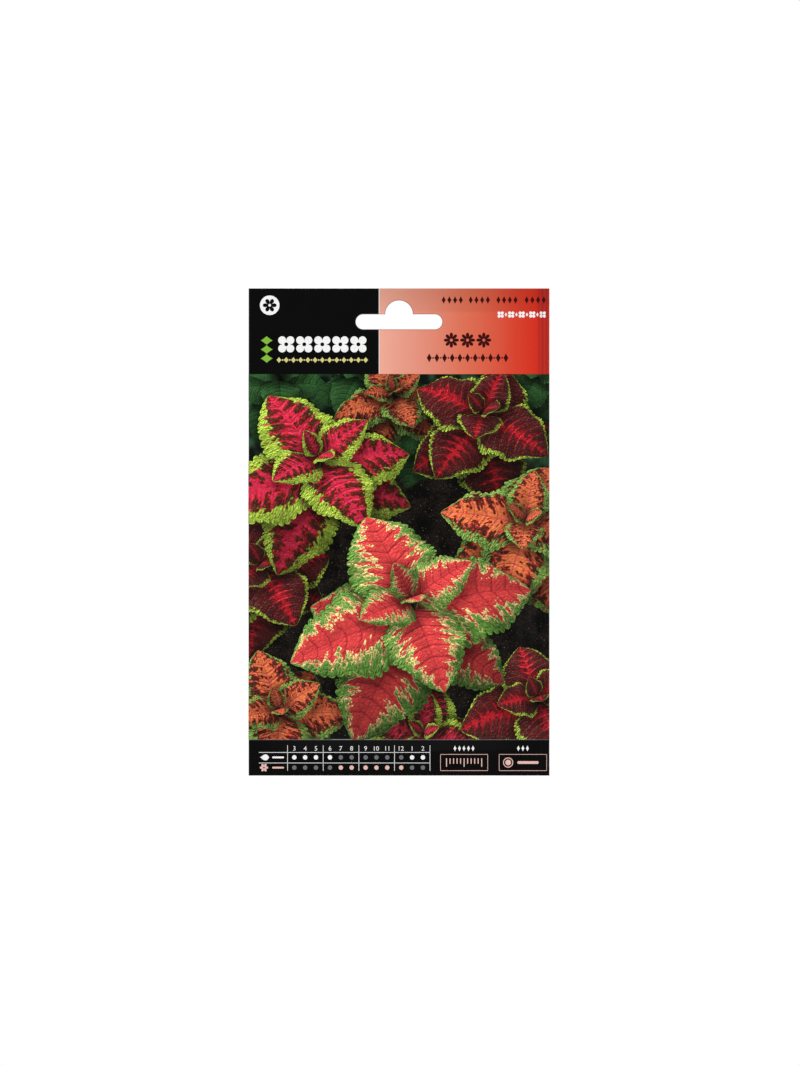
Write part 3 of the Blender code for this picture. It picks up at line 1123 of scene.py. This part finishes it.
def outlined_box(left, right, low, high, line):
    """Four thin bars round a box."""
    x, z = (left + right) / 2, (low + high) / 2
    half_x, half_z = (right - left) / 2, (high - low) / 2
    return [
        bar(x, low, half_x + line, line, rounded=False),
        bar(x, high, half_x + line, line, rounded=False),
        upright(left, z, line, half_z),
        upright(right, z, line, half_z),
    ]


def triangles_of(grid):
    """A grid as points and triangles that face the front."""
    rows, columns = grid.shape[:2]
    points = grid.reshape(-1, 2)
    quads = facing_front(points, grid_quads(rows, columns))
    return points, np.concatenate([quads[:, [0, 1, 2]], quads[:, [0, 2, 3]]])


DIGIT_HEIGHT = 0.7  # of Blender's built-in font, as a share of its size


def number(text, x, z, height):
    """A plain number centred on a place, as points and triangles in millimetres."""
    curve = bpy.data.curves.new("number", "FONT")
    curve.body = text
    curve.align_x = "CENTER"
    curve.align_y = "CENTER"
    curve.size = height / DIGIT_HEIGHT
    curve.resolution_u = 3
    holder = link_piece("number", curve)
    bpy.context.view_layer.update()
    graph = bpy.context.evaluated_depsgraph_get()
    mesh = bpy.data.meshes.new_from_object(holder.evaluated_get(graph))
    bpy.data.objects.remove(holder)
    bpy.data.curves.remove(curve)
    mesh.calc_loop_triangles()
    points = rows_from(mesh.vertices, "co", 3)[:, :2].astype(float)
    corners = rows_from(mesh.loop_triangles, "vertices", 3, np.int32)
    bpy.data.meshes.remove(mesh)
    points += np.array([x, z]) - (points.min(0) + points.max(0)) / 2
    return points, corners


INK_LIFT = 0.02 * MM  # between the paper and the marks printed on it


def ink_piece(name, shapes, material, behind=False, lift=INK_LIFT):
    """Joins flat shapes in one printed piece on the front, or mirrored on the back."""
    parts = [triangles_of(shape) if isinstance(shape, np.ndarray) else shape for shape in shapes]
    starts = np.cumsum([0] + [len(points) for points, _ in parts[:-1]])
    flat = np.concatenate([points for points, _ in parts]) * MM
    faces = np.concatenate([corners + start for start, (_, corners) in zip(starts, parts)])
    if behind:
        flat[:, 0] *= -1
    height = np.full(len(flat), -lift)
    mesh = mesh_from(name, np.stack([flat[:, 0], height, flat[:, 1]], 1), faces)
    bm = bmesh.new()
    bm.from_mesh(mesh)
    bmesh.ops.remove_doubles(bm, verts=bm.verts, dist=1e-7)
    if not behind:
        split_flat(bm, ((LEFT, BOTTOM), (RIGHT, TOP)), crease_lines())
    bm.to_mesh(mesh)
    bm.free()
    lay_on_paper(mesh, behind)
    mesh.materials.append(material)
    return on_packet(link_piece(name, mesh))


def ink_paint(name, colour):
    """A solid ink that takes a little less in places, as print on coated paper does."""
    paint = Paint(name)
    place = paint.place_mm()
    thin = paint.rise(paint.noise(place, 1.4, 3.0), 0.35, 0.70)
    colour = paint.mix(thin, tuple(0.93 * part for part in colour), colour)
    # Painted shade in the grooves between the pressed ribs
    return paint.finish(pressed(paint, colour), coated_surface(paint, place))


def flower(x, z, radius, petals=6, first=0.0):
    """A small plain flower: a ring of round petals whose middle is left open."""
    return ring(x, z, 0.20 * radius, radius, petals, 0.62, first)


def lozenge(x, z, half_x, half_z):
    """A lozenge with slightly hollow sides: its height falls as the power 1.2 of what is left."""
    a, b = np.linspace(-1, 1, 17)[None, :], np.linspace(-1, 1, 5)[:, None]
    height = half_z * (1 - np.abs(a)) ** 1.2
    return np.stack([x + half_x * a + 0 * b, z + b * height], -1)


class Row(NamedTuple):
    """Like marks in a row about (x, z), in millimetres, with the sizes that their shape takes."""

    shape: Callable
    x: float
    z: float
    sizes: tuple
    count: int = 1
    step: float = 0.0


def marks_in(rows):
    """Every mark of some rows: each stands at its row's x plus a number of steps."""
    shapes = []
    for row in rows:
        for place in np.arange(row.count) - (row.count - 1) / 2:
            shapes.append(row.shape(row.x + row.step * place, row.z, *row.sizes))
    return shapes


# The white disc, the bold flowers and the chain at the right, with its small lozenges
WHITE_ROWS = (
    Row(ring, -43.0, -1.6, (0.0, 3.25)),
    Row(flower, -25.5, -14.6, (3.25, 4, 45.0), 5, 6.0),
    Row(flower, 40.8, -4.7, (1.25, 4, 45.0), 5, 3.5),
    Row(lozenge, 40.8, -4.7, (0.45, 0.7), 4, 3.5),
)
# The stack of lozenges at the left
GREEN_ROWS = [Row(lozenge, -44.0, z, (2.0, 1.4)) for z in (-19.3, -16.3, -13.3)]
# Three flowers on the red block, lozenges and beads under them, and four groups at the top
DARK_ROWS = (
    Row(flower, 22.8, -13.2, (2.5, 8), 3, 5.4),
    Row(lozenge, 22.8, -19.1, (0.85, 1.5), 11, 2.55),
    Row(ring, 22.8, -19.1, (0.0, 0.28), 10, 2.55),
    *(Row(lozenge, x, 0.15, (0.7, 1.25), 4, 1.9) for x in (17.7, 26.7, 35.9, 45.3)),
)
# The flower on the white disc
BLACK_ROWS = (Row(flower, -43.0, -1.6, (2.3,)),)
# Lozenges and beads under the bold flowers
CREAM_ROWS = (
    Row(lozenge, -25.5, -19.8, (0.85, 0.95), 13, 2.4),
    Row(ring, -25.5, -19.8, (0.0, 0.28), 12, 2.4),
)

# The foot's calendar of 4 seasons of 3 months, in millimetres
CALENDAR_LEFT = -46.6
SEASON_LINES = (-37.06, -25.2, -13.35, -1.5, 10.3)
CALENDAR_TOP, CALENDAR_LOW = -147.9, -156.4
CALENDAR_RULES = (-150.3, -153.8)
SOWING_Z, FLOWERING_Z = -151.95, -155.35
MONTHS_Z = -148.95
MONTH_HEIGHT = 1.5
FIRST_MONTH = 2.25  # from a season's line
MONTH_STEP = 3.6
MONTHS = (3, 4, 5, 6, 7, 8, 9, 10, 11, 12, 1, 2)
SOWING = (3, 4, 5, 6, 1, 2)
FLOWERING = (7, 8, 9, 10, 11, 12)

# The foot's two small boxes: a ruler in one, a ring and a bar in the other
BOXES = ((13.8, 29.5), (33.3, 49.1))
BOX_LOW, BOX_HIGH = -156.35, -150.95
BOX_MIDDLE = (BOX_LOW + BOX_HIGH) / 2
RULER = (15.8, 27.5, 11)  # first and last tick, and how many
TICK_HALF = (0.16, 1.4)
TICK_LESS = 0.5  # half of what the ticks between each fifth one lack at their foot
BOX_PICTURE = (
    Row(ring, 36.3, BOX_MIDDLE, (1.4, 1.68)),
    Row(ring, 36.3, BOX_MIDDLE, (0.0, 0.95)),
    Row(bar, 42.9, BOX_MIDDLE, (3.6, 0.45)),
)
# Lozenges over the boxes
BOX_ROWS = (
    Row(lozenge, 21.6, MONTHS_Z, (0.5, 0.95), 5, 1.5),
    Row(lozenge, 41.2, MONTHS_Z, (0.5, 0.95), 3, 1.5),
)
# A seed and a bar at the row of the sown months, a flower and a bar at that of the flowering ones
SOWING_KEY = (
    Row(petal, -46.2, SOWING_Z, (3.0, 2.0, 0.0)),
    Row(bar, -40.2, SOWING_Z, (2.0, 0.3)),
)
FLOWERING_KEY = (
    Row(flower, -44.9, FLOWERING_Z, (1.4,)),
    Row(bar, -40.2, FLOWERING_Z, (2.0, 0.3)),
)
HAIRLINE = 0.08  # half the width of the thin lines
DOT = 0.73


def month_places():
    """(month, x) for the calendar's twelve columns."""
    for i, month in enumerate(MONTHS):
        yield month, SEASON_LINES[i // 3] + FIRST_MONTH + MONTH_STEP * (i % 3)


def month_dots(z, months):
    """A dot in each of some months' columns."""
    return [ring(x, z, 0, DOT) for month, x in month_places() if month in months]


def foot_white():
    """The calendar's lines and month numbers, the sown months, and a seed at their row."""
    middle = (CALENDAR_LEFT + SEASON_LINES[-1]) / 2
    half = (SEASON_LINES[-1] - CALENDAR_LEFT) / 2
    half_tall = (CALENDAR_TOP - CALENDAR_LOW) / 2
    shapes = [bar(middle, z, half, HAIRLINE, rounded=False) for z in CALENDAR_RULES]
    shapes += [upright(x, CALENDAR_LOW + half_tall, HAIRLINE, half_tall) for x in SEASON_LINES]
    shapes += [number(str(month), x, MONTHS_Z, MONTH_HEIGHT) for month, x in month_places()]
    shapes += month_dots(SOWING_Z, SOWING)
    return shapes + marks_in(SOWING_KEY + BOX_ROWS)


def foot_grey():
    """The months that neither row marks."""
    unsown = set(MONTHS) - set(SOWING)
    return month_dots(SOWING_Z, unsown) + month_dots(FLOWERING_Z, set(MONTHS) - set(FLOWERING))


def foot_pink():
    """The months in flower, a flower at their row, and the boxes with a ruler and a ring."""
    shapes = month_dots(FLOWERING_Z, FLOWERING) + marks_in(FLOWERING_KEY)
    for left, right in BOXES:
        shapes += outlined_box(left, right, BOX_LOW, BOX_HIGH, HAIRLINE)
    half_x, half_z = TICK_HALF
    for i, x in enumerate(np.linspace(*RULER)):
        less = TICK_LESS if i % 5 else 0.0
        shapes += [upright(x, BOX_MIDDLE + less, half_x, half_z - less)]
    return shapes + marks_in(BOX_PICTURE)


class PACKET_OT_marks(bpy.types.Operator):
    """Print the header's and the foot's marks, one piece for each ink"""

    bl_idname = "packet.marks"
    bl_label = "Printed marks"

    def execute(self, context):
        colours = context.scene.packet_print
        white = marks_in(WHITE_ROWS) + foot_white()
        marks = (
            ("white_marks", "white ink", colours.white, white, 1),
            ("green_marks", "green ink", colours.fresh_green, marks_in(GREEN_ROWS), 1),
            ("dark_marks", "dark ink", colours.maroon, marks_in(DARK_ROWS), 1),
            ("disc_flower", "black ink", colours.black, marks_in(BLACK_ROWS), 2),
            ("cream_marks", "cream ink", colours.cream, marks_in(CREAM_ROWS), 1),
            ("grey_marks", "grey ink", colours.grey, foot_grey(), 1),
            ("pink_marks", "pink ink", colours.pink, foot_pink(), 1),
        )
        for piece, ink_name, colour, shapes, layer in marks:
            ink_piece(piece, shapes, ink_paint(ink_name, colour), lift=layer * INK_LIFT)
        return {"FINISHED"}


# The back's marks, in millimetres, with x to the right as the back is read
COLUMNS = ((-40.0, -2.0), (2.0, 40.0))
HEADINGS_Z = (-68.0, -88.0)
HEADING_BAR = (9.0, 0.75)  # half sizes
EMPTY_BOX = (-40.0, -8.0, -138.0, -112.0)  # left, right, low, high
LAST_BLOCK = (-2.0, 40.0, -113.0, 9)  # left, right, top, lines
STEPS_X = (-28.0, 0.0, 28.0)
STEPS_Z = -46.0
STEP_RING = (7.4, 8.0)
STEP_NUMBER = (11.2, 3.2)  # over the ring's middle, and how tall
STEP_TEXT = (8.0, 12.0, 3)  # half width, from the ring's middle down, lines
HEADING_TEXT = (3.4, 5)  # from the heading down, lines
STEP_PICTURES = (  # seeds over a row, a drop of water, and a seedling
    Row(bar, -28.0, -48.6, (4.6, 0.3)),
    Row(petal, -28.0, -47.4, (2.6, 1.5, 90.0), 3, 2.7),
    Row(lozenge, -28.0, -42.6, (0.9, 1.2)),
    Row(petal, 0.0, -41.6, (8.0, 5.0, -90.0)),
    Row(bar, 28.0, -49.6, (4.6, 0.3)),
    Row(upright, 28.0, -47.5, (0.25, 1.9)),
    Row(petal, 27.75, -45.5, (4.8, 2.4, 142.0)),
    Row(petal, 28.25, -45.5, (4.8, 2.4, 38.0)),
)
LINE_STEP = 2.2
LINE_HALF = 0.34
WORD_LENGTHS = (1.6, 6.5)
WORD_GAP = 0.7
SHORTEST_END = 1.2  # room under which a line gets no more bars
LAST_LINE = 0.55  # of the block's width


def text_lines(rng, left, right, top, count):
    """Lines of small bars of uneven length, as text looks from too far away to read."""
    shapes = []
    for row in range(count):
        x = left
        last = right if row < count - 1 else left + LAST_LINE * (right - left)
        while x < last - SHORTEST_END:
            length = min(rng.uniform(*WORD_LENGTHS), last - x)
            shapes.append(bar(x + length / 2, top - LINE_STEP * row, length / 2, LINE_HALF))
            x += length + WORD_GAP
    return shapes


class PACKET_OT_back(bpy.types.Operator):
    """Print the back's plain marks: three numbered steps, blocks of lines and an empty box"""

    bl_idname = "packet.back"
    bl_label = "Printed back"

    def execute(self, context):
        colours = context.scene.packet_print
        rng = np.random.default_rng(context.scene.packet_picture.seed)
        red, dark = [], []
        above, tall = STEP_NUMBER
        half, below, lines = STEP_TEXT
        for step, x in enumerate(STEPS_X, 1):
            red += [ring(x, STEPS_Z, *STEP_RING), number(str(step), x, STEPS_Z + above, tall)]
            dark += text_lines(rng, x - half, x + half, STEPS_Z - below, lines)
        dark += marks_in(STEP_PICTURES)
        below, lines = HEADING_TEXT
        for top in HEADINGS_Z:
            for left, right in COLUMNS:
                red += [bar(left + HEADING_BAR[0], top, *HEADING_BAR)]
                dark += text_lines(rng, left, right, top - below, lines)
        dark += outlined_box(*EMPTY_BOX, HAIRLINE)
        dark += text_lines(rng, *LAST_BLOCK)
        ink_piece("back_dark_marks", dark, ink_paint("back dark ink", colours.maroon), behind=True)
        ink_piece("back_red_marks", red, ink_paint("back red ink", colours.red), behind=True)
        return {"FINISHED"}


# Finishes of what the packet holds


def glue_paint():
    """Dried glue: milky, with pressed bubbles."""
    paint = Paint("dried glue", roughness=0.4)
    place = paint.place_mm()
    bubbles = paint.rise(paint.cells(place, 0.9), 0.02, 0.12)
    colour = paint.mix(bubbles, (0.50, 0.47, 0.38), (0.80, 0.78, 0.70))
    paint.bump(bubbles, 0.03 * MM)
    return paint.finish(colour, 0.35 + 0.2 * bubbles)


def foil_paint():
    """Satin foil with a fine pressed grid and soft wrinkles."""
    paint = Paint("sachet foil", metallic=0.9)
    place = paint.place_mm()
    x, _, z = paint.split(place)
    grid = paint.maths("SINE", x * 5.0) * paint.maths("SINE", z * 5.0)
    wrinkles = paint.noise(place, 0.25, 4.0, 0.6)
    colour = paint.mix(wrinkles, (0.55, 0.56, 0.58), (0.86, 0.87, 0.88))
    paint.bump(grid * 0.2 + wrinkles * 2.0, 0.06 * MM)
    return paint.finish(colour, 0.24 + 0.16 * wrinkles)


def seed_paint():
    """Hard dark seed coats, speckled with brown."""
    paint = Paint("seed coat")
    place = paint.place_mm()
    specks = paint.rise(paint.noise(place, 4.0, 3.0), 0.45, 0.65)
    colour = paint.mix(specks, (0.020, 0.012, 0.008), (0.14, 0.08, 0.045))
    paint.bump(specks, 0.04 * MM)
    return paint.finish(colour, 0.35 + 0.25 * specks)


class PACKET_OT_contents(bpy.types.Operator):
    """Finish the glue film, the sachet's foils and the seeds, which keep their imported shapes"""

    bl_idname = "packet.contents"
    bl_label = "Contents"

    def execute(self, context):
        foil = foil_paint()
        finishes = {
            "seal_glue": glue_paint(),
            "sachet_back_foil": foil,
            "sachet_front_foil": foil,
            "seeds": seed_paint(),
        }
        for name, finish in finishes.items():
            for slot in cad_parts[name].material_slots:
                slot.material = finish
        return {"FINISHED"}


# Stage

CAMERA_DISTANCE = 3.0
SENSOR = 36.0  # Blender's own sensor width, in mm, which spans the taller side of the frame
FLOOR_DROP = 0.32  # below the packet's lower edge
FLOOR_REACH = 1.6
FILL = 0.17  # strength of the white light from all round
SOFTBOXES = (  # name, place, side and power
    ("front_left", (-1.9, -1.5, 1.1), 1.1, 50.0),
    ("front_right", (1.9, -1.5, 0.6), 1.1, 33.0),
    ("back_left", (-1.8, 1.6, 1.1), 1.1, 38.0),
    ("back_right", (1.8, 1.6, 0.7), 1.1, 30.0),
)


def add_camera():
    """A long lens square to the front, framed as in the photograph."""
    scale = (TOP - BOTTOM) / PACKET_HEIGHT_PX
    right_px, up_px = MIDDLE_OFF_CENTRE_PX
    data = bpy.data.cameras.new("camera")
    data.lens = SENSOR * CAMERA_DISTANCE / (PHOTO_HEIGHT_PX * scale)
    data.sensor_width = SENSOR
    camera = bpy.data.objects.new("camera", data)
    middle = ((LEFT + RIGHT) / 2, (TOP + BOTTOM) / 2)
    camera.location = (middle[0] - right_px * scale, -CAMERA_DISTANCE, middle[1] - up_px * scale)
    camera.rotation_euler = (math.pi / 2, 0, 0)
    bpy.context.scene.collection.objects.link(camera)
    bpy.context.scene.camera = camera


def add_softbox(name, place, size, power):
    """A square soft lamp that faces the packet's middle."""
    data = bpy.data.lights.new(name, "AREA")
    data.shape = "SQUARE"
    data.size = size
    data.energy = power
    lamp = bpy.data.objects.new(name, data)
    towards = Vector((0, 0, (TOP + BOTTOM) / 2)) - Vector(place)
    turn = towards.to_track_quat("-Z", "Y").to_matrix().to_4x4()
    lamp.matrix_world = Matrix.Translation(place) @ turn
    bpy.context.scene.collection.objects.link(lamp)


def add_world():
    """White where the camera looks past the packet, and a softer fill for the light."""
    world = bpy.data.worlds.new("studio")
    world.use_nodes = True
    tree = world.node_tree
    fill = tree.nodes["Background"]
    fill.inputs["Color"].default_value = (1, 1, 1, 1)
    fill.inputs["Strength"].default_value = FILL
    white = tree.nodes.new("ShaderNodeBackground")
    white.inputs["Strength"].default_value = 1.0
    white.inputs["Color"].default_value = (1, 1, 1, 1)
    mixed = tree.nodes.new("ShaderNodeMixShader")
    seen = tree.nodes.new("ShaderNodeLightPath")
    tree.links.new(seen.outputs["Is Camera Ray"], mixed.inputs[0])
    tree.links.new(fill.outputs[0], mixed.inputs[1])
    tree.links.new(white.outputs[0], mixed.inputs[2])
    tree.links.new(mixed.outputs[0], tree.nodes["World Output"].inputs["Surface"])
    bpy.context.scene.world = world


def floor_paint():
    """A pale, faintly clouded studio floor that fades out towards its edge."""
    paint = Paint("studio floor", roughness=0.8)
    place = paint.place_mm()
    x, y, _ = paint.split(place)
    away = paint.maths("SQRT", x**2 + y**2) * MM
    paint.feed(paint.shader.inputs["Alpha"], paint.rise(away, FLOOR_REACH, 0.5 * FLOOR_REACH))
    cloud = paint.noise(place, 0.004, 2.0)
    return paint.finish(paint.mix(cloud, (0.60, 0.60, 0.59), (0.66, 0.66, 0.65)))


class PACKET_OT_stage(bpy.types.Operator):
    """Add the camera, the soft lights and a pale floor well below the hanging packet"""

    bl_idname = "packet.stage"
    bl_label = "Stage"

    def execute(self, context):
        add_camera()
        for softbox in SOFTBOXES:
            add_softbox(*softbox)
        add_world()
        across = np.linspace(-FLOOR_REACH, FLOOR_REACH, 25)
        x, y = np.meshgrid(across, across)
        floor = np.stack([x, y, 0 * x + BOTTOM - FLOOR_DROP], -1)
        mesh = mesh_from("floor", floor.reshape(-1, 3), grid_quads(*floor.shape[:2]))
        mesh.materials.append(floor_paint())
        link_piece("floor", mesh)
        context.scene.view_settings.view_transform = "Standard"
        return {"FINISHED"}


class PACKET_PT_build(bpy.types.Panel):
    """Lists the packet's steps in the 3D view's sidebar"""

    bl_label = "Seed packet"
    bl_space_type = "VIEW_3D"
    bl_region_type = "UI"
    bl_category = "Packet"

    def draw(self, context):
        for step in STEPS:
            self.layout.operator(step.bl_idname)


GROUPS = (PacketPaper, PrintColours, PictureColours)
STEPS = (
    PACKET_OT_stage,
    PACKET_OT_paper,
    PACKET_OT_leaves,
    PACKET_OT_marks,
    PACKET_OT_back,
    PACKET_OT_contents,
)


def register():
    for made in (*GROUPS, *STEPS, PACKET_PT_build):
        bpy.utils.register_class(made)
    bpy.types.Scene.packet_paper = PointerProperty(type=PacketPaper)
    bpy.types.Scene.packet_print = PointerProperty(type=PrintColours)
    bpy.types.Scene.packet_picture = PointerProperty(type=PictureColours)


def unregister():
    del bpy.types.Scene.packet_picture
    del bpy.types.Scene.packet_print
    del bpy.types.Scene.packet_paper
    for made in reversed((*GROUPS, *STEPS, PACKET_PT_build)):
        bpy.utils.unregister_class(made)


def main():
    register()
    bpy.ops.packet.stage()
    bpy.ops.packet.paper()
    bpy.ops.packet.leaves()
    bpy.ops.packet.marks()
    bpy.ops.packet.back()
    bpy.ops.packet.contents()


if __name__ == "__main__":
    main()
